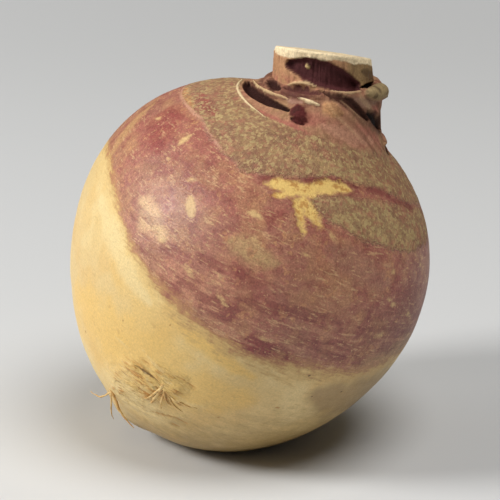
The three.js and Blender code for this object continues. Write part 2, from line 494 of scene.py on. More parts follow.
# Broad patches of colour over the mottling: a paint, its strength and a stroke.
CREAM_PATCHES = [
    ("golden", 0.8, stroke((120, -70), (115, 10), 13, 4)),
    ("golden", 0.9, stroke((100, -20), (105, 10), 3)),
    ("pale_cream", 0.8, stroke((85, -70), (100, -30), 4)),
    # Painted shade: the pale skin on the right flank darker and browner.
    ("right_flank_shade", 0.9, stroke((105, 35), (105, 85), 11)),
]
CAP_PATCHES = [
    ("crimson", 0.7, stroke((50, -80), (60, -60), 6)),
    ("peach", 0.9, stroke((55, -95), (75, -80), 3)),
    ("pale_peach", 0.95, stroke((75, -50), (80, -35), 4)),
    ("olive", 0.9, stroke((70, -15), (70, 0), 3.5)),
    ("blush", 0.8, stroke((85, -30), (90, -10), 4)),
    ("crimson", 0.9, stroke((95, 0), (95, 20), 4)),
    ("mauve", 0.8, stroke((60, 15), (65, 40), 5)),
    # Painted shade: the cap darker on its right side.
    ("cap_shade", 0.8, stroke((60, 60), (90, 50), 8)),
    # The cap's edge on the right side, brown: partly its fading into the pale skin and partly painted shade.
    ("cap_edge_fade_and_shade", 0.95, stroke((95, 40), (85, 80), 6)),
]
CORK_PATCHES = [
    ("tan_orange", 0.9, stroke((45, -100), (45, -70), 2)),
    ("crimson", 0.8, stroke((40, -85), (40, -60), 2.5)),
    ("cork_olive", 0.75, stroke((35, -15), (35, 50), 3.5)),
    ("cork_olive", 0.8, stroke((50, 15), (50, 60), 4)),
]
# Mottling by noise, from large to small: a paint, its strength and the size of its patches in millimetres.
CREAM_MOTTLES = [("golden", 0.5, 26), ("pale_cream", 0.5, 17), ("amber", 0.25, 12)]
CAP_MOTTLES = [
    ("crimson", 0.5, 20), ("mauve", 0.5, 14), ("maroon", 0.35, 10),
    ("tan", 0.4, 7), ("peach", 0.3, 5),
]
CORK_MOTTLES = [("cork_olive", 0.5, 10), ("cork_tan", 0.5, 7), ("cork_dark", 0.3, 5)]

# Lines of longitude and polar angle: the cap's edge, and the outer edge of the corky zone.
CAP_EDGE = [(-180, 80), (-120, 76), (-80, 75), (-60, 81), (-40, 90), (-20, 98), (0, 101), (20, 98), (40, 95),
            (60, 91), (90, 86), (130, 80), (180, 80)]
CORK_OUTER = [(-180, 45), (-90, 46), (-60, 44), (-25, 50), (-10, 45), (10, 38), (40, 36), (60, 40), (90, 44),
              (130, 43), (180, 45)]
# A second corky zone below it, as a lens: its polar angle, half its height and where it starts and ends.
LOW_CORK = {"polar": 48, "half_height": 7, "first": 2, "last": 90}

# Relief near the tip: one slit, and seeded creases and ridges round the side roots.
SLIT = stroke((125, -30), (125, -15), 0.9)
CREASES = scattered(CREASE_SEED, 9, (119, 142), (-34, 0), (6, 12), (0.5, 0.9))
TIP_RIDGES = scattered(TIP_RIDGE_SEED, 9, (119, 144), (-36, 0), (8, 14), (0.7, 1.2))
CREASE_DEPTH = 0.6
SLIT_DEPTH = 1.1
TIP_RIDGE_HEIGHT = 0.5
# The wrinkled skin round the side roots.
WRINKLED = stroke((120, -10), (145, -40), 9)


def line_at(knots, longitude):
    """The polar angle of a line round the root at each longitude, all in degrees."""
    places, polars = np.array(knots, float).T
    return np.interp(longitude, places, polars)


def skin_places(polar, longitude, around, along):
    """Places for patterns that follow the root's rings or ribs, in millimetres.

    The longitude becomes a circle, around times smaller than the girth, and the polar angle an arc,
    along times shorter than it is: a pattern is drawn out by those amounts.
    """
    circle = MEAN_RADIUS / around
    return np.stack([
        circle * np.sin(longitude),
        -circle * np.cos(longitude),
        MEAN_RADIUS / along * polar,
    ], axis=-1)


# ---- the skin -------------------------------------------------------------------------------------

def colour(red, green, blue):
    """A linear colour from the red, green and blue of a screen colour, 0 to 255."""
    screen = np.array([red, green, blue]) / 255
    return np.where(screen <= 0.04045, screen / 12.92, ((screen + 0.055) / 1.055) ** 2.4)


PAINTS = {
    "cream": colour(217, 187, 127),
    "pale_cream": colour(226, 202, 146),
    "golden": colour(226, 186, 106),
    "amber": colour(212, 164, 86),
    # painted shade of the right flank
    "right_flank_shade": colour(166, 137, 92),
    "cap": colour(160, 100, 85),
    "crimson": colour(140, 66, 62),
    "maroon": colour(118, 62, 56),
    "blush": colour(192, 136, 108),
    "mauve": colour(160, 114, 94),
    # painted shade of the cap's right side
    "cap_shade": colour(140, 86, 74),
    "tan": colour(178, 134, 94),
    "tan_orange": colour(196, 142, 88),
    "peach": colour(186, 144, 98),
    "pale_peach": colour(210, 172, 124),
    "straw": colour(206, 178, 124),
    # the cap's edge fading on the right side, with painted shade
    "cap_edge_fade_and_shade": colour(160, 128, 90),
    "olive": colour(180, 148, 104),
    "cork": colour(156, 120, 86),
    "cork_olive": colour(174, 146, 100),
    "cork_tan": colour(176, 140, 102),
    "cork_dark": colour(126, 94, 72),
    "ledge": colour(170, 124, 96),
    "ledge_red": colour(164, 98, 86),
    "ledge_dark": colour(118, 80, 62),
    "olive_brown": colour(152, 122, 84),
    "pink_brown": colour(188, 138, 112),
    # painted shadow under the lips and the knob
    "brow": colour(96, 62, 48),
    "fibrous": colour(114, 82, 64),
    "flesh": colour(170, 130, 110),
    "tan_swell": colour(190, 142, 100),
    "wall_left": colour(188, 142, 104),
    "wall_right": colour(146, 118, 82),
    "wall_shade": colour(86, 66, 48),
    # dark plum of the scars, darkened as painted shade in recesses
    "plum_and_recess_shade": colour(60, 34, 29),
    "scar_plum": colour(84, 46, 46),
    "plum_red": colour(100, 60, 54),
    # painted shadow in the hollows
    "hollow_shadow": colour(20, 11, 9),
    "lip": colour(206, 174, 130),
    # pale rim with painted highlight
    "pale_rim_and_highlight": colour(236, 210, 166),
    "bud": colour(90, 42, 40),
    "plum_grey": colour(142, 112, 94),
    "knob": colour(158, 136, 98),
    "knob_shade": colour(96, 76, 58),
    "cut": colour(238, 216, 176),
}
def peeled_from(turn):
    """The climb that the peeled strip below the cut reaches down to: a level with two waves round it."""
    return 2.82 + 0.07 * np.sin(3 * turn) + 0.04 * np.sin(7 * turn)


def blot(colours, share, name):
    """Colours turned into a named paint by a share from 0 to 1."""
    return mixed(colours, np.broadcast_to(PAINTS[name], colours.shape), np.clip(share, 0, 1))


def painted(points, base, mottles, patches, seed):
    """The colour of every point: a base paint, mottled by noise, under patches with soft, uneven edges."""
    uneven = 0.35 * roughening(points, 4.0, seed)
    colours = np.broadcast_to(PAINTS[base], points.shape)
    for number, (name, strength, size) in enumerate(mottles):
        spots = smooth(0.05, 0.6, roughening(points, size, 10 * seed + number))
        colours = blot(colours, strength * spots, name)
    for name, strength, knots in patches:
        near = nearness(points, root_path(knots))
        colours = blot(colours, strength * smooth(-0.6, 0.6, near + uneven), name)
    return colours


def strand_noise(climb, turn, size, seed):
    """Noise drawn out like the neck's fibres.

    They run upwards, but slant to the right on the front of the ledge.
    """
    slanting = smooth(-25, 10, np.degrees(turn)) * smooth(150, 90, np.degrees(turn))
    swung = turn + math.radians(70) * np.minimum(climb, 1) * slanting
    places = np.stack([16 * np.sin(swung), -16 * np.cos(swung), 1.2 * climb], axis=-1)
    return roughening(places, size, seed)


def neck_colours(points, marks, climb, turn):
    """The colour of every point of the ledge, step, wall and cut.

    The paints are laid on from broad areas to small marks.
    """
    broad = roughening(points, 6, 11)
    fine = roughening(points, 1.6, 12)
    strands = strand_noise(climb, turn, 1.1, 13)
    turn_degrees = np.degrees(turn)
    front_right = smooth(18, 42, turn_degrees) * smooth(190, 150, turn_degrees)

    colours = np.broadcast_to(PAINTS["ledge"], points.shape)
    colours = blot(colours, smooth(-0.1, 0.8, broad) * 0.7, "ledge_red")
    colours = blot(colours, smooth(0.1, 0.8, -broad + 0.5 * fine) * 0.5, "olive_brown")
    left_step = smooth(0.70, 0.9, climb) * smooth(8, -14, turn_degrees)
    colours = blot(colours, left_step * smooth(-0.7, 0.5, fine + 0.2) * 0.85, "plum_red")
    colours = blot(colours, smooth(0.95, 1.2, climb) * (0.4 + 0.3 * fine), "ledge_dark")

    wall = smooth(1.9, 2.05, climb)
    colours = blot(colours, wall, "wall_left")
    colours = blot(colours, wall * smooth(2.45, 2.1, climb) * smooth(-0.4, 0.6, fine) * 0.6, "ledge_red")
    colours = blot(colours, wall * smooth(-0.2, 0.5, 1.3 * front_right - 0.3 + 0.3 * strands), "wall_right")
    for name, strength, knots in NECK_PATCHES:
        near = nearness(points, neck_path(knots)) + 0.35 * fine
        colours = blot(colours, strength * smooth(-0.5, 0.5, near), name)
    colours = blot(colours, smooth(0.0, 0.8, strands) * (0.4 + 0.3 * front_right), "ledge_dark")
    colours = blot(colours, smooth(0.2, 0.9, -strands) * 0.25 * (1 - wall), "lip")
    peeled = peeled_from(turn) + 0.03 * fine + 0.02 * broad
    colours = blot(colours, smooth(peeled - 0.02, peeled + 0.03, climb), "cut")

    on_knob = marks["knob"]
    colours = blot(colours, smooth(-0.1, 0.4, on_knob), "knob")
    shaded = smooth(0.0, 0.5, on_knob) * smooth(-0.1, 0.6, -fine - 0.5 * broad)
    colours = blot(colours, shaded * 0.8, "knob_shade")
    # The back scars: their own dark colour, made darker in their middles as painted shade.
    for name in ("back_scar", "back_left_scar", "back_ledge_scar"):
        colours = blot(colours, smooth(-0.3, 0.5, marks[name] + 0.3 * fine), "ledge_dark")
        colours = blot(colours, smooth(0.2, 0.9, marks[name] + 0.3 * fine) * 0.7, "plum_and_recess_shade")
    # The gap, recesses, notch and long scar: their own dark plum, made darker as painted shade in the
    # dishes.
    for name in ("knob_gap", "left_recess", "right_notch", "long_scar"):
        colours = blot(colours, smooth(-0.20, 0.15, marks[name] + 0.15 * fine), "plum_and_recess_shade")
    colours = blot(colours, smooth(-0.10, 0.06, marks["great_scar"] + 0.10 * fine), "scar_plum")
    # The crevice and the hollow under the knob: dark plum along the fibres, partly their colour and partly
    # painted shade.
    for name in ("crevice", "knob_hollow"):
        colours = blot(colours, smooth(-0.5, 0.4, marks[name] + 0.6 * strands) * 0.9, "plum_and_recess_shade")
    # Painted shadow: black in the deepest parts of the hollows, the gap under the wall and the long scar.
    for name, strength in (("knob_hollow", 0.9), ("right_notch", 0.9), ("knob_gap", 1), ("long_scar", 0.35)):
        colours = blot(colours, smooth(0.0, 0.7, marks[name]) * strength, "hollow_shadow")
    colours = blot(colours, smooth(-0.2, 0.2, marks["eye_scar"] + 0.3 * fine), "plum_red")
    # Painted shadow: black under the bud.
    colours = blot(colours, smooth(-0.2, 0.4, marks["bud_shadow"]), "hollow_shadow")
    on_bud = marks["bud"]
    colours = blot(colours, smooth(0, 0.35, on_bud + 0.3 * fine), "bud")
    colours = blot(colours, smooth(0.1, 0.5, on_bud) * smooth(-0.1, 0.5, fine - 0.3 * broad) * 0.7, "plum_and_recess_shade")
    # Pale rims on the lips and the crown's edge. On the bright lip and the crown's edge they are brighter
    # still: partly their own pale colour and partly painted highlight.
    for name, strength, paint in (
            ("arch", 0.9, "lip"), ("upper_lip", 0.65, "lip"),
            ("bright_lip", 1, "pale_rim_and_highlight"), ("left_lip", 0.9, "lip"), ("crown_edge", 0.9, "pale_rim_and_highlight"),
            ("back_lip", 0.7, "lip"), ("back_crown_edge", 0.6, "lip"), ("nub", 1, "straw")):
        colours = blot(colours, strength * smooth(-0.1, 0.6, marks[name] + 0.35 * fine), paint)
    colours = blot(colours, smooth(2.97, 3.02, climb), "cut")
    ring = smooth(3.32, 3.40, climb) * smooth(3.52, 3.44, climb)
    colours = blot(colours, ring * smooth(-0.6, 0.4, fine) * 0.5, "tan")
    colours = blot(colours, smooth(3.55, 3.9, climb + 0.1 * broad) * 0.3, "straw")
    return colours * (1 + 0.12 * fine + 0.06 * broad)[:, None]


def with_alpha(colours):
    """Colours with a fourth column of ones."""
    return np.concatenate([colours, np.ones((len(colours), 1))], axis=1)


def add_attribute(mesh, name, values):
    """Stores one number, place or colour for each vertex of a mesh."""
    shape = np.shape(values)
    kind = "FLOAT" if len(shape) == 1 else {3: "FLOAT_VECTOR", 4: "FLOAT_COLOR"}[shape[1]]
    key = {"FLOAT": "value", "FLOAT_VECTOR": "vector", "FLOAT_COLOR": "color"}[kind]
    attribute = mesh.attributes.new(name, kind, "POINT")
    attribute.data.foreach_set(key, np.asarray(values, np.float32).ravel())


def grid_faces(rows, columns):
    """Quads of a grid whose columns close on themselves, and the triangles that close its two ends."""
    row, column = np.meshgrid(np.arange(rows - 1), np.arange(columns), indexing="ij")
    here = row * columns + column
    beside = row * columns + (column + 1) % columns
    quads = np.stack([here, beside, beside + columns, here + columns], axis=-1).reshape(-1, 4)
    first, last = rows * columns, rows * columns + 1
    around = np.arange(columns)
    following = (around + 1) % columns
    start = np.stack([following, around, np.full(columns, first)], axis=-1)
    top = (rows - 1) * columns
    end = np.stack([top + around, top + following, np.full(columns, last)], axis=-1)
    return quads, np.concatenate([start, end])


def closed_mesh(name, grid, finish):
    """A closed, smooth-shaded object from a grid of points in millimetres about the root's centre."""
    rows, columns = grid.shape[:2]
    ends = np.stack([grid[0].mean(axis=0), grid[-1].mean(axis=0)])
    points = np.concatenate([grid.reshape(-1, 3), ends])
    quads, triangles = grid_faces(rows, columns)
    corners = np.concatenate([quads.ravel(), triangles.ravel()])
    sizes = np.concatenate([np.full(len(quads), 4), np.full(len(triangles), 3)])
    mesh = bpy.data.meshes.new(name)
    mesh.vertices.add(len(points))
    mesh.vertices.foreach_set("co", ((points + ROOT_CENTRE) * MM).astype(np.float32).ravel())
    mesh.loops.add(len(corners))
    mesh.loops.foreach_set("vertex_index", corners.astype(np.int32))
    mesh.polygons.add(len(sizes))
    mesh.polygons.foreach_set("loop_start", np.concatenate([[0], np.cumsum(sizes)[:-1]]).astype(np.int32))
    mesh.update(calc_edges=True)
    mesh.validate()
    mesh.shade_smooth()
    mesh.materials.append(finish)
    obj = bpy.data.objects.new(name, mesh)
    bpy.context.scene.collection.objects.link(obj)
    return obj


def with_ends(values, rows):
    """Values of a grid as one list, followed by the means of its first and last rows, for the end points."""
    grid = values.reshape(rows, COLUMNS, *values.shape[1:])
    ends = [grid[row].mean(axis=0, keepdims=True) for row in (0, -1)]
    return np.concatenate([values, *ends])


def skin():
    """The whole skin as one closed grid: base surface, plus relief along its outward normals."""
    points = base_points.reshape(-1, 3)
    normals = outward_normals(base_points).reshape(-1, 3)
    climb = np.repeat(ROW_CLIMBS, COLUMNS)
    turn = np.tile(COLUMN_TURNS, ROW_COUNT)
    edge_row = np.full(ROW_COUNT - len(ROW_POLARS), math.radians(CROWN_EDGE))
    polar = np.repeat(np.concatenate([ROW_POLARS, edge_row]), COLUMNS) - climb * math.radians(10)
    polar_degrees = np.degrees(polar)
    longitude = np.degrees(turn)
    rings = skin_places(polar, turn, 5, 1)
    ribs = skin_places(polar, turn, 1, 2.6)

    # Signed distances in millimetres to the coloured zones, above 0 inside.
    per_degree = MEAN_RADIUS * math.pi / 180
    cap = (line_at(CAP_EDGE, longitude) - polar_degrees) * per_degree
    cork_edge = (line_at(CORK_OUTER, longitude) - polar_degrees) * per_degree
    cork = np.minimum(cork_edge, (polar_degrees - 20) * per_degree)
    along = np.clip((longitude - LOW_CORK["first"]) / (LOW_CORK["last"] - LOW_CORK["first"]), 0, 1)
    lens = LOW_CORK["half_height"] * np.sqrt(np.sin(math.pi * along))
    low_cork = (lens - abs(polar_degrees - LOW_CORK["polar"])) * per_degree
    low_cork = np.where((along > 0) & (along < 1), low_cork, -9)
    cork = np.maximum(cork, low_cork)
    cap = cap * (1 + 1.1 * smooth(-14, -50, longitude) * smooth(-180, -110, longitude))
    scrape = np.max([margin(points, root_path(knots)) for knots in SCRAPE], axis=0)
    scrape = scrape + 0.7 * roughening(points, 1.8, 27, 2)
    fleck = np.max([margin(points, root_path(knots)) for knots in FLECKS], axis=0)
    lines = {
        name: np.max([nearness(points, root_path(knots)) for knots in places], axis=0)
        for name, places in (("dark_dots", DARK_DOTS), ("cream_dots", CREAM_DOTS))
    }
    # Two lines follow the cork's edge: a maroon one outside it in front, and a pink ridge on it on the left.
    broken = 0.6 * roughening(points, 9, 26)
    lines["maroon_line"] = broken + 1 - abs(cork_edge + 1.5) / 1.6 - 3 * smooth(-15, -30, longitude)
    lines["maroon_line"] -= 3 * smooth(60, 80, longitude)
    lines["pink_line"] = broken + 1 - abs(cork_edge) / 0.8 - 3 * smooth(-40, -25, longitude)
    lines["pink_line"] -= 3 * smooth(-110, -130, longitude)
    wrinkled = smooth(-0.5, 0.6, nearness(points, root_path(WRINKLED)) + 0.3 * roughening(points, 5, 25))
    tip_slit = nearness(points, root_path(SLIT))
    creases = np.max([nearness(points, root_path(knots)) for knots in CREASES], axis=0)
    tip_ridge = np.max([nearness(points, root_path(knots)) for knots in TIP_RIDGES], axis=0)
    marks = neck_marks(points)

    on_body = smooth(0.2, 0, climb)
    on_cut = smooth(2.9, 3, climb)
    relief = on_body * 0.22 * roughening(points, 21, 1, 2)
    relief += on_body * 0.05 * roughening(rings, 2.6, 2, 2)
    relief += on_body * wrinkled * 0.55 * roughening(rings, 2.4, 8, 2)
    relief += 0.10 * smooth(-1, 1, cork) * on_body * (0.8 + roughening(points, 2.4, 3))
    relief -= 0.25 * smooth(-0.4, 0.5, scrape)
    relief += 0.3 * smooth(0, 1, lines["pink_line"])
    relief -= 0.2 * smooth(0, 1, lines["dark_dots"]) + 0.15 * smooth(0, 1, lines["cream_dots"])
    relief -= CREASE_DEPTH * smooth(-0.2, 0.8, creases)
    relief -= SLIT_DEPTH * smooth(-0.2, 0.8, tip_slit)
    relief += TIP_RIDGE_HEIGHT * smooth(-0.2, 0.8, tip_ridge)
    ledge = smooth(0, 0.3, climb) * (1 - on_cut)
    strands = strand_noise(climb, turn, 1.8, 5)
    relief += ledge * 0.18 * roughening(points, 3.2, 6)
    relief += ledge * smooth(1.9, 2.2, climb) * 0.35 * strands
    relief += on_cut * 0.10 * roughening(points, 2.2, 7)
    relief += 0.5 * smooth(3, 4, climb)
    relief += (1 - on_cut) * neck_relief(marks)
    grid = (points + normals * relief[:, None]).reshape(ROW_COUNT, COLUMNS, 3)
    grid[..., 2] = np.maximum(grid[..., 2], -ROOT_CENTRE[2])

    obj = closed_mesh("skin", grid, skin_finish())
    neck_paint = neck_colours(points, marks, climb, turn)
    tip_groove = np.maximum(creases, tip_slit)
    ledge_bound = 0.04 + 0.2 * smooth(-60, 0, longitude) * smooth(110, 60, longitude)
    # How far each point faces down: where the underside's soil stain and painted shade go.
    down = smooth(-0.2, -0.95, normals[:, 2])
    for name, values in {
        "cap": np.clip(cap, -25, 25),
        "cork": np.clip(cork, -9, 9),
        "scrape": np.clip(scrape, -3, 3),
        "fleck": np.clip(fleck, -3, 3),
        "groove": np.clip(tip_groove, -1, 1),
        "slit": np.clip(tip_slit, -1, 1),
        "ridge": np.clip(tip_ridge, -1, 1),
        "rings": rings * MM,
        "ribs": ribs * MM,
        "streaky": smooth(64, 84, polar_degrees) * smooth(-75, -45, longitude),
        **{name: np.clip(values, -1, 1) for name, values in lines.items()},
        "neck": np.where(climb > 0, np.clip(0.5 + (climb - ledge_bound) / 0.16, -1, 2), -1.5),
        "crown_line": np.clip(np.maximum(marks["crown_edge"], marks["back_crown_edge"]), -1, 1),
        "cream_paint": with_alpha(painted(points, "cream", CREAM_MOTTLES, CREAM_PATCHES, 21)),
        "cap_paint": with_alpha(painted(points, "cap", CAP_MOTTLES, CAP_PATCHES, 22)),
        "cork_paint": with_alpha(painted(points, "cork", CORK_MOTTLES, CORK_PATCHES, 23)),
        "neck_paint": with_alpha(neck_paint),
        "underside": down,
        "wrinkled": wrinkled,
    }.items():
        add_attribute(obj.data, name, with_ends(values, ROW_COUNT))
    return obj


# ---- finishes -------------------------------------------------------------------------------------

class Finish:
    """One material's nodes, added step by step. Each step gives the socket that the next one takes."""

    def __init__(self, name):
        self.material = bpy.data.materials.new(name)
        self.material.use_nodes = True
        self.nodes = self.material.node_tree.nodes
        self.links = self.material.node_tree.links
        self.shader = self.nodes["Principled BSDF"]

    def put(self, socket, value):
        """Links a socket to another one, or sets it to a plain value."""
        if isinstance(value, bpy.types.NodeSocket):
            self.links.new(value, socket)
        elif np.ndim(value) == 1 and len(value) == 3 and socket.type == "RGBA":
            socket.default_value = (*value, 1)
        else:
            socket.default_value = value

    def attribute(self, name, output="Fac"):
        node = self.nodes.new("ShaderNodeAttribute")
        node.attribute_name = name
        return node.outputs[output]

    def place(self):
        return self.nodes.new("ShaderNodeTexCoord").outputs["Object"]

    def noise(self, where, size, detail=2.0, roughness=0.5, distortion=0.0):
        """Noise about 0.5 whose lumps measure size millimetres."""
        node = self.nodes.new("ShaderNodeTexNoise")
        self.put(node.inputs["Vector"], where)
        self.put(node.inputs["Scale"], 1 / (size * MM))
        self.put(node.inputs["Detail"], detail)
        self.put(node.inputs["Roughness"], roughness)
        self.put(node.inputs["Distortion"], distortion)
        return node.outputs["Fac"]

    def maths(self, operation, first, second=0.0, third=0.0):
        node = self.nodes.new("ShaderNodeMath")
        node.operation = operation
        for socket, value in zip(node.inputs, (first, second, third)):
            self.put(socket, value)
        return node.outputs["Value"]

    def rise(self, value, low, high):
        """0 below low, 1 above high and an S curve between. With low above high it falls."""
        node = self.nodes.new("ShaderNodeMapRange")
        node.interpolation_type = "SMOOTHSTEP"
        self.put(node.inputs["Value"], value)
        self.put(node.inputs["From Min"], low)
        self.put(node.inputs["From Max"], high)
        return node.outputs["Result"]

    def blend(self, share, first, second):
        """The first colour turned into the second by a share from 0 to 1."""
        node = self.nodes.new("ShaderNodeMix")
        node.data_type = "RGBA"
        self.put(node.inputs["Factor"], share)
        colours = [socket for socket in node.inputs if socket.type == "RGBA"]
        self.put(colours[0], first)
        self.put(colours[1], second)
        return [socket for socket in node.outputs if socket.type == "RGBA"][0]

    def total(self, *terms):
        """The sum of pairs of (socket, factor)."""
        result = None
        for socket, factor in terms:
            result = (self.maths("MULTIPLY", socket, factor) if result is None
                      else self.maths("MULTIPLY_ADD", socket, factor, result))
        return result

    def scaled(self, tint, factor, least):
        """A colour times a factor plus a least value."""
        node = self.nodes.new("ShaderNodeVectorMath")
        node.operation = "SCALE"
        self.put(node.inputs[0], tint)
        self.put(node.inputs["Scale"], self.maths("ADD", factor, least))
        return node.outputs[0]

    def warped(self, where, size, amount):
        """Places pushed about by an amount in millimetres.

        What is drawn on them loses its straight edges.
        """
        noise = self.nodes.new("ShaderNodeTexNoise")
        self.put(noise.inputs["Vector"], where)
        self.put(noise.inputs["Scale"], 1 / (size * MM))
        shift = self.nodes.new("ShaderNodeVectorMath")
        shift.operation = "MULTIPLY_ADD"
        self.put(shift.inputs[0], noise.outputs["Color"])
        self.put(shift.inputs[1], (amount * MM,) * 3)
        self.put(shift.inputs[2], where)
        return shift.outputs[0]

    def cells(self, where, size):
        """A value of its own, about 0.5, for each of the grains that measure size millimetres."""
        node = self.nodes.new("ShaderNodeTexVoronoi")
        self.put(node.inputs["Vector"], where)
        self.put(node.inputs["Scale"], 1 / (size * MM))
        return node.outputs["Color"]

    def bump(self, height):
        """Sets the shader's normal from a height in millimetres."""
        node = self.nodes.new("ShaderNodeBump")
        self.put(node.inputs["Height"], height)
        self.put(node.inputs["Distance"], MM)
        self.put(node.inputs["Strength"], 1.0)
        self.put(self.shader.inputs["Normal"], node.outputs["Normal"])


# Soil stain and painted shade for the underside of the pale skin.
SOIL_AND_SHADE = colour(138, 112, 68)
CREAM_SPOT = colour(180, 130, 68)
FRINGE = colour(196, 160, 102)
EDGE_TAN = colour(176, 128, 86)
FRECKLE = colour(192, 140, 98)
AMBER_LINE = colour(190, 130, 56)
CAP_DARK = colour(124, 62, 58)
CAP_LIGHT = colour(190, 138, 108)
STREAK = colour(200, 160, 118)
CORK_LIGHT = colour(196, 172, 120)
CORK_DARK = colour(112, 78, 64)
CORK_PINK = colour(170, 104, 88)
SCRAPE_YELLOW = colour(230, 194, 116)
SCRAPE_TAN = colour(194, 146, 82)
FLECK_PALE = colour(214, 180, 124)
PINK_PALE = colour(200, 148, 120)
# Dark brown of dots and of the slit, where it is also painted shade.
GROOVE_BROWN_AND_SHADE = colour(82, 54, 30)
GROOVE_ORANGE = colour(188, 132, 62)
# Pale of ridge tops: partly their own colour and partly painted highlight.
RIDGE_PALE_AND_HIGHLIGHT = colour(226, 196, 134)
LINE_PALE = colour(232, 208, 162)


def skin_finish():
    """Pale flesh-coloured skin under a red-purple cap, with corky zones and the neck's paint.

    A scrape, flecks, dots and fine lines lie over them.
    """
    finish = Finish("rutabaga_skin")
    place = finish.place()
    rings = finish.attribute("rings", "Vector")
    ribs = finish.attribute("ribs", "Vector")

    ring_broad = finish.noise(rings, 3.2, 4, 0.6)
    ring_fine = finish.noise(rings, 0.8, 3, 0.6)
    mottle = finish.noise(place, 3.0, 5, 0.65)
    speckle = finish.noise(place, 1.3, 4, 0.65)
    grain = finish.noise(place, 0.6, 2, 0.7)
    streaky = finish.attribute("streaky")

    def over(share, strength, below, above):
        return finish.blend(finish.maths("MULTIPLY", share, strength), below, above)

    def line(name, softness, low, high):
        return finish.rise(finish.total((finish.attribute(name), 1), (speckle, softness)), low, high)

    # The pale lower skin, darker towards the ground: partly soil stain and partly painted shade on the
    # underside.
    cream_paint = finish.attribute("cream_paint", "Color")
    cream = over(finish.rise(ring_fine, 0.56, 0.72), 0.25, cream_paint, CREAM_SPOT)
    cream = over(finish.rise(finish.noise(place, 2.4, 2), 0.68, 0.78), 0.4, cream, CREAM_SPOT)
    ground = finish.total((finish.attribute("underside"), 1.0), (ring_broad, 0.9), (mottle, 0.5))
    soil_and_shade = finish.rise(ground, 0.95, 1.7)
    cream = over(soil_and_shade, 0.6, cream, SOIL_AND_SHADE)
    wrinkled = finish.attribute("wrinkled")
    wrinkles = finish.noise(rings, 1.6, 3, 0.6)
    wrinkle_low = finish.maths("MULTIPLY", finish.rise(wrinkles, 0.52, 0.64), wrinkled)
    cream = over(wrinkle_low, 0.8, cream, AMBER_LINE)
    # Pale on the wrinkles' tops: partly their own colour and partly painted highlight.
    wrinkle_top = finish.maths("MULTIPLY", finish.rise(wrinkles, 0.46, 0.34), wrinkled)
    cream = over(wrinkle_top, 0.8, cream, RIDGE_PALE_AND_HIGHLIGHT)
    cream = over(line("cream_dots", 0.6, 0.1, 0.7), 0.85, cream, CREAM_SPOT)

    # The red-purple cap: its paint mottled dark and light, with dashes and dark lines along the rings.
    purple = over(finish.rise(mottle, 0.50, 0.66), 0.45, finish.attribute("cap_paint", "Color"), CAP_DARK)
    purple = over(finish.rise(mottle, 0.48, 0.34), 0.40, purple, CAP_LIGHT)
    purple = over(finish.rise(speckle, 0.54, 0.66), 0.35, purple, CAP_DARK)
    purple = over(finish.rise(speckle, 0.44, 0.32), 0.45, purple, CAP_LIGHT)
    ring_dark = finish.maths("MULTIPLY", finish.rise(ring_broad, 0.50, 0.38), streaky)
    purple = over(ring_dark, 0.6, purple, CAP_DARK)
    ring_light = finish.maths("MULTIPLY", finish.rise(ring_broad, 0.54, 0.64), streaky)
    purple = over(ring_light, 0.5, purple, CAP_LIGHT)
    patchy = finish.rise(finish.noise(place, 9, 3), 0.40, 0.58)
    dashes = finish.maths("MULTIPLY", finish.rise(ring_fine, 0.55, 0.66), patchy)
    purple = over(dashes, 0.7, purple, STREAK)
    freckles = finish.rise(finish.noise(place, 1.1, 1), 0.66, 0.76)
    purple = over(freckles, 0.6, purple, STREAK)
    flecked = finish.rise(finish.noise(place, 7, 3), 0.46, 0.60)
    grains = finish.cells(finish.warped(place, 1.0, 1.6), 1.2)
    purple = over(finish.maths("MULTIPLY", finish.rise(grains, 0.66, 0.80), flecked), 0.5, purple, FRECKLE)
    purple = finish.scaled(purple, finish.total((grain, 0.7), (speckle, 0.5)), 0.38)

    frayed = finish.total((finish.attribute("cap"), 1), (ring_broad, 14), (ring_fine, 5),
                          (mottle, 9), (speckle, 4))
    skin_colour = over(finish.rise(frayed, 11.5, 16.5), 0.9, cream, FRINGE)
    skin_colour = over(finish.rise(frayed, 15.0, 18.5), 0.9, skin_colour, EDGE_TAN)
    skin_colour = finish.blend(finish.rise(frayed, 16.5, 22.0), skin_colour, purple)

    # The corky zones, granular and finely scored, and the marks on the cap.
    ribbed = finish.noise(ribs, 1.2, 3, 0.6)
    cork_small = finish.cells(finish.warped(place, 0.9, 1.2), 0.85)
    cork_large = finish.cells(finish.warped(place, 1.6, 2.4), 1.6)
    cork_value = finish.total((cork_large, 0.7), (cork_small, 0.7), (ribbed, 0.6), (speckle, 0.6))
    cork_colour = finish.scaled(finish.attribute("cork_paint", "Color"), cork_value, -0.24)
    cork_colour = over(finish.rise(cork_small, 0.50, 0.32), 0.60, cork_colour, CORK_LIGHT)
    cork_colour = over(finish.rise(cork_small, 0.58, 0.74), 0.45, cork_colour, CORK_DARK)
    cork_colour = over(finish.rise(cork_large, 0.52, 0.70), 0.50, cork_colour, CORK_DARK)
    cork_colour = over(finish.rise(mottle, 0.52, 0.62), 0.40, cork_colour, CORK_PINK)
    cork = finish.rise(finish.total((finish.attribute("cork"), 1), (mottle, 6), (speckle, 4)), 3.8, 6.2)
    skin_colour = over(cork, 0.95, skin_colour, cork_colour)
    skin_colour = over(line("maroon_line", 2.4, 1.1, 2.0), 0.65, skin_colour, CAP_DARK)
    skin_colour = over(line("pink_line", 1.2, 0.7, 1.4), 0.75, skin_colour, PINK_PALE)

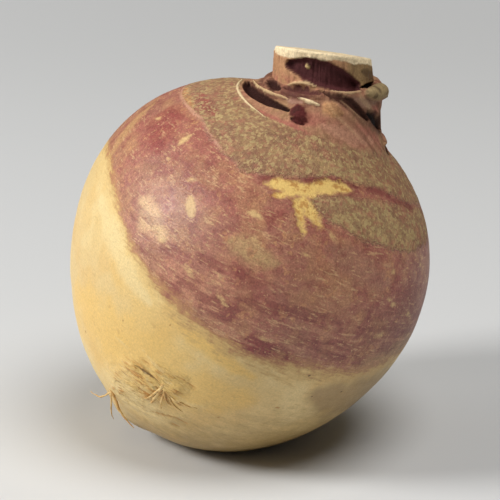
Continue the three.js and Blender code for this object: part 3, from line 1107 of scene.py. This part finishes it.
    scrape_edge = finish.total((finish.attribute("scrape"), 1), (speckle, 3.0), (mottle, 2.4))
    outside_scrape = finish.rise(scrape_edge, 1.3, 2.2)
    scrape_rim = finish.maths("MULTIPLY", outside_scrape, finish.rise(speckle, 0.44, 0.58))
    skin_colour = over(scrape_rim, 0.6, skin_colour, CAP_DARK)
    scrape_colour = finish.blend(finish.rise(mottle, 0.49, 0.60), SCRAPE_YELLOW, SCRAPE_TAN)
    skin_colour = over(finish.rise(scrape_edge, 1.9, 3.8), 0.95, skin_colour, scrape_colour)
    fleck_edge = finish.total((finish.attribute("fleck"), 1), (speckle, 2.2), (mottle, 1.4), (grain, 0.6))
    skin_colour = over(finish.rise(fleck_edge, 1.5, 3.0), 0.78, skin_colour, FLECK_PALE)
    skin_colour = over(line("dark_dots", 0.4, 0.2, 0.7), 0.85, skin_colour, GROOVE_BROWN_AND_SHADE)
    skin_colour = over(line("groove", 0.8, 0.4, 1.1), 0.7, skin_colour, GROOVE_ORANGE)
    # The slit: dark brown inside, partly its own colour and partly painted shade.
    skin_colour = over(line("slit", 0.3, 0.2, 0.8), 0.9, skin_colour, GROOVE_BROWN_AND_SHADE)
    # Pale along the ridges near the tip: partly their own colour and partly painted highlight.
    skin_colour = over(line("ridge", 0.5, 0.2, 1.0), 0.65, skin_colour, RIDGE_PALE_AND_HIGHLIGHT)

    neck = finish.rise(finish.total((finish.attribute("neck"), 1), (mottle, 1.0), (speckle, 0.8)), 1.1, 1.7)
    neck_paint = finish.attribute("neck_paint", "Color")
    neck_paint = finish.scaled(neck_paint, finish.total((finish.noise(place, 0.7, 3, 0.6), 0.7)), 0.65)
    skin_colour = finish.blend(neck, skin_colour, neck_paint)
    skin_colour = over(line("crown_line", 1.4, 0.8, 1.5), 0.9, skin_colour, LINE_PALE)
    skin_colour = finish.scaled(skin_colour, finish.total((grain, 0.5), (speckle, 0.15)), 0.675)
    finish.put(finish.shader.inputs["Base Color"], skin_colour)

    rough = finish.maths("MAXIMUM", cork, neck)
    roughness = finish.total((rough, 0.28), (mottle, 0.25))
    finish.put(finish.shader.inputs["Roughness"], finish.maths("ADD", roughness, 0.34))
    shine = finish.maths("ADD", finish.total((neck, -0.38)), 0.5)
    finish.put(finish.shader.inputs["Specular IOR Level"], shine)

    crinkled = finish.maths("MULTIPLY", wrinkles, wrinkled)
    grit = finish.total((finish.noise(ribs, 0.9, 3, 0.65), 0.25), (speckle, 0.35))
    height = finish.total((grain, 0.08), (ring_fine, 0.10), (finish.maths("MULTIPLY", grit, rough), 1.0),
                          (crinkled, 2.0))
    finish.bump(height)
    return finish.material


def fibre_finish():
    """Dry root fibre: straw brown, darker in blotches, with a fine bumpy grain."""
    finish = Finish("root_fibre")
    place = finish.place()
    blotch = finish.noise(place, 2.5, 3)
    tint = finish.blend(finish.rise(blotch, 0.35, 0.65), colour(228, 196, 134), colour(196, 152, 90))
    finish.put(finish.shader.inputs["Base Color"], tint)
    finish.put(finish.shader.inputs["Roughness"], 0.7)
    finish.bump(finish.total((finish.noise(place, 0.5, 2), 0.15)))
    return finish.material


# The floor, in metres.
FLOOR_FADE_START = 0.45
FLOOR_FADE_END = 1.5


def floor_finish():
    """Plain and pale, and fading away far from the root."""
    finish = Finish("pale_floor")
    distance = finish.nodes.new("ShaderNodeVectorMath")
    distance.operation = "LENGTH"
    finish.put(distance.inputs[0], finish.place())
    near = finish.rise(distance.outputs["Value"], FLOOR_FADE_END, FLOOR_FADE_START)
    finish.put(finish.shader.inputs["Alpha"], near)
    finish.put(finish.shader.inputs["Base Color"], (0.62, 0.62, 0.61, 1))
    finish.put(finish.shader.inputs["Roughness"], 0.8)
    return finish.material


# ---- side roots -----------------------------------------------------------------------------------

# Two tufts of fine roots: the place as (polar angle, longitude), how many roots, the way the first one
# heads and the turn from one to the next (0 is towards the tip, 90 is to the right), how many degrees
# they reach, how high their middles arch off the skin and how far off it their ends stand.
ROOT_TUFTS = [
    {"place": (125, -15), "count": 7, "first": -30, "fan": 20, "reach": 13, "arch": 0.7, "end": 0.0},
    {"place": (150, -50), "count": 3, "first": -80, "fan": 75, "reach": 12, "arch": 2.0, "end": 4.0},
]
ROOT_THICKNESS = (0.3, 0.75)      # thinnest and thickest at the start
ROOT_SPREAD = 3                   # degrees between the places where the roots of a tuft start
ROOT_START_DEPTH = 0.5            # how far below the skin each one starts
ROOT_BOW = 1.5                    # degrees that each one bows sideways
ROOT_WANDER = 0.3
ROOT_SIDES = 8
ROOT_STEPS = 10


def fine_root(thickness, start, end, arch, end_height, seed):
    """Rings of points along a smooth path: a circle of a tapering, knotty radius carried along it.

    The path rises from under the skin to the height of its end, and arches off the skin as a sine does.
    """
    route = stroke(start, end, 1, ROOT_BOW)
    rise = np.linspace(0, 1, len(route))
    heights = -ROOT_START_DEPTH + (end_height + ROOT_START_DEPTH) * rise ** 2 + arch * np.sin(math.pi * rise)
    path = smooth_path([on_root(polar, longitude, height)
                        for (polar, longitude, _half), height in zip(route, heights)], ROOT_STEPS)
    share = np.linspace(0, 1, len(path))
    sway = np.stack([roughening(path, 3.5, seed + axis, 2) for axis in (0, 1, 2)], axis=-1)
    path = path + ROOT_WANDER * sway * np.sin(math.pi * share)[:, None]
    ahead = np.gradient(path, axis=0)
    ahead /= np.linalg.norm(ahead, axis=1)[:, None]
    sideways = np.cross(ahead, path)
    sideways /= np.linalg.norm(sideways, axis=1)[:, None]
    upward = np.cross(sideways, ahead)
    radius = thickness * (1 - 0.75 * share ** 1.5) * (1 + 0.22 * roughening(path, 1.8, seed + 7, 2))
    around = np.linspace(0, 2 * math.pi, ROOT_SIDES, endpoint=False)
    return (path[:, None, :]
            + radius[:, None, None] * (np.cos(around)[None, :, None] * sideways[:, None, :]
                                       - np.sin(around)[None, :, None] * upward[:, None, :]))


def tuft_roots(place, count, first, fan, reach, arch, end, random):
    """The measures of each root of a tuft, which fan out from nearly the same place."""
    for number in range(count):
        heading = math.radians(first + fan * number + random.uniform(-8, 8))
        length = reach * random.uniform(0.6, 1.2)
        start = np.array(place) + random.uniform(-ROOT_SPREAD, ROOT_SPREAD, 2) / 2
        step = np.array([math.cos(heading), math.sin(heading) / math.sin(math.radians(place[0]))])
        lift = random.uniform(0.6, 1.2)
        yield random.uniform(*ROOT_THICKNESS), start, start + length * step, arch * lift, end * lift


def side_roots():
    """Every fine root as its own closed tube, joined into one object."""
    finish = fibre_finish()
    random = np.random.default_rng(ROOT_SEED)
    every_root = [measures for tuft in ROOT_TUFTS for measures in tuft_roots(**tuft, random=random)]
    tubes = [closed_mesh(f"fine_root_{number}", fine_root(*measures, 100 + 20 * number), finish)
             for number, measures in enumerate(every_root)]
    with bpy.context.temp_override(active_object=tubes[0], selected_editable_objects=tubes):
        bpy.ops.object.join()
    tubes[0].name = "side_roots"
    return tubes[0]


# ---- the stage ------------------------------------------------------------------------------------

FLOOR_RADIUS = 2.0
AIM = (8.07, 1.9, 62.3)
CAMERA_ELEVATION = 18
CAMERA_DISTANCE = 888.9
LENS = 200
LAMP_DISTANCE = 1.6
# Each lamp: where it stands round the root, its elevation, its diameter in metres, the brightness that
# it gives a white surface that faces it, and whether it shows in the gloss.
LAMPS = {
    "key": (-75, 33, 0.5, 0.80, True),
    "side": (-110, 12, 1.0, 0.32, False),
    "front": (40, 68, 1.0, 0.76, False),
}
AMBIENT = 0.06
BACKGROUND = 0.85


def floor():
    """A round pale floor at the height of the flat spot that the root rests on."""
    around = np.linspace(0, 2 * math.pi, 64, endpoint=False)
    rim = np.stack([FLOOR_RADIUS * np.cos(around), FLOOR_RADIUS * np.sin(around), 0 * around], axis=-1)
    mesh = bpy.data.meshes.new("floor")
    mesh.from_pydata(rim.tolist(), [], [list(range(len(around)))])
    mesh.materials.append(floor_finish())
    obj = bpy.data.objects.new("floor", mesh)
    bpy.context.scene.collection.objects.link(obj)


def aimed(obj, place, target):
    """Puts an object at a place in metres, with its -Z axis towards a target."""
    obj.location = place
    away = np.array(target) - np.array(place)
    obj.rotation_mode = "QUATERNION"
    obj.rotation_quaternion = Vector(away).to_track_quat("-Z", "Y")
    bpy.context.scene.collection.objects.link(obj)


def lights():
    """A soft key lamp, two wide fill lamps that leave no gloss and a faint, even surrounding."""
    target = np.array(AIM) * MM
    for name, (around, elevation, size, brightness, in_gloss) in LAMPS.items():
        around, elevation = math.radians(around), math.radians(elevation)
        towards = np.array([math.sin(around) * math.cos(elevation), -math.cos(around) * math.cos(elevation),
                            math.sin(elevation)])
        lamp = bpy.data.lights.new(name, "AREA")
        lamp.shape = "DISK"
        lamp.size = size
        lamp.energy = brightness * (math.pi * LAMP_DISTANCE) ** 2
        obj = bpy.data.objects.new(name, lamp)
        aimed(obj, target + LAMP_DISTANCE * towards, target)
        obj.visible_camera = False
        obj.visible_glossy = in_gloss

    world = bpy.data.worlds.new("studio")
    world.use_nodes = True
    nodes, links = world.node_tree.nodes, world.node_tree.links
    seen = nodes.new("ShaderNodeLightPath").outputs["Is Camera Ray"]
    strength = nodes.new("ShaderNodeMapRange")
    strength.inputs["To Min"].default_value = AMBIENT
    strength.inputs["To Max"].default_value = BACKGROUND
    links.new(seen, strength.inputs["Value"])
    background = nodes["Background"]
    background.inputs["Color"].default_value = (1, 1, 1, 1)
    links.new(strength.outputs["Result"], background.inputs["Strength"])
    bpy.context.scene.world = world


def camera():
    """A long lens at 18 degrees above the horizon, looking along +Y."""
    lens = bpy.data.cameras.new("camera")
    lens.lens = LENS
    lens.sensor_width = 36
    lens.clip_start = 0.05
    lens.clip_end = 30
    rise = math.radians(CAMERA_ELEVATION)
    target = np.array(AIM) * MM
    place = target + CAMERA_DISTANCE * MM * np.array([0, -math.cos(rise), math.sin(rise)])
    obj = bpy.data.objects.new("camera", lens)
    aimed(obj, place, target)
    bpy.context.scene.camera = obj


# ---- the whole scene ------------------------------------------------------------------------------

def main():
    root_skin = skin()
    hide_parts("rutabaga")
    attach(root_skin, "root")
    fibres = side_roots()
    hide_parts("rutabaga")
    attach(fibres, "root")
    floor()
    lights()
    camera()
    bpy.context.scene.view_settings.view_transform = "Standard"


main()
